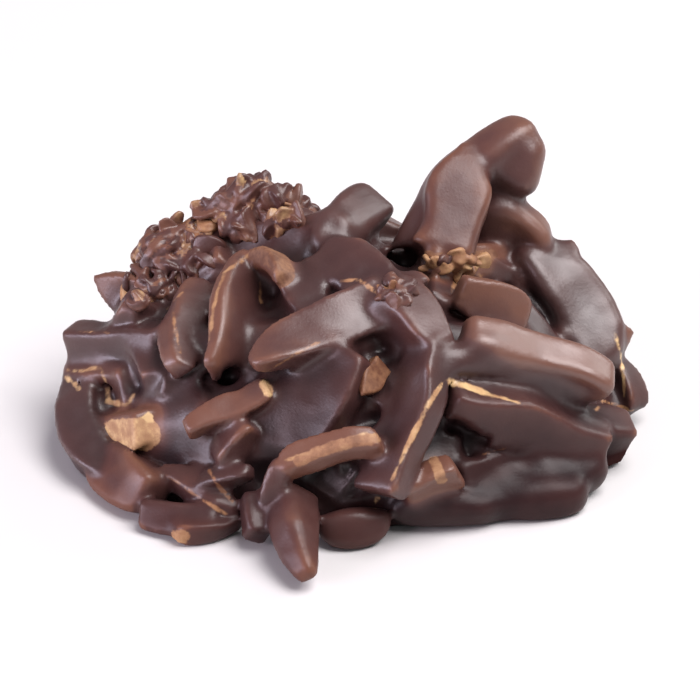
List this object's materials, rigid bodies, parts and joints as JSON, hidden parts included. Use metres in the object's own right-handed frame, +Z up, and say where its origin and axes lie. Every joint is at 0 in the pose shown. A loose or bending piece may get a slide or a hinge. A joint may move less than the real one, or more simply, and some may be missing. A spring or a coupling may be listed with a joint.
{
  "type": "chocolate almond cluster",
  "caption": "Flat-based heap of coated almond slivers set together in dark cocoa and date paste, with a tall fin of fused slivers and loose ends standing out all round.",
  "frame": {"origin": "middle of the flat underside, where the heap set on its sheet", "axes": "+Z up from the underside, +X along the widest way across, and -Y towards the side that the picture shows"},
  "size_m": [0.0517, 0.048, 0.0255],
  "materials": {
    "chocolate": "satin",
    "almond": "matte"
  },
  "bodies": {
    "root": {"cluster": "chocolate"}
  },
  "joints": []
}
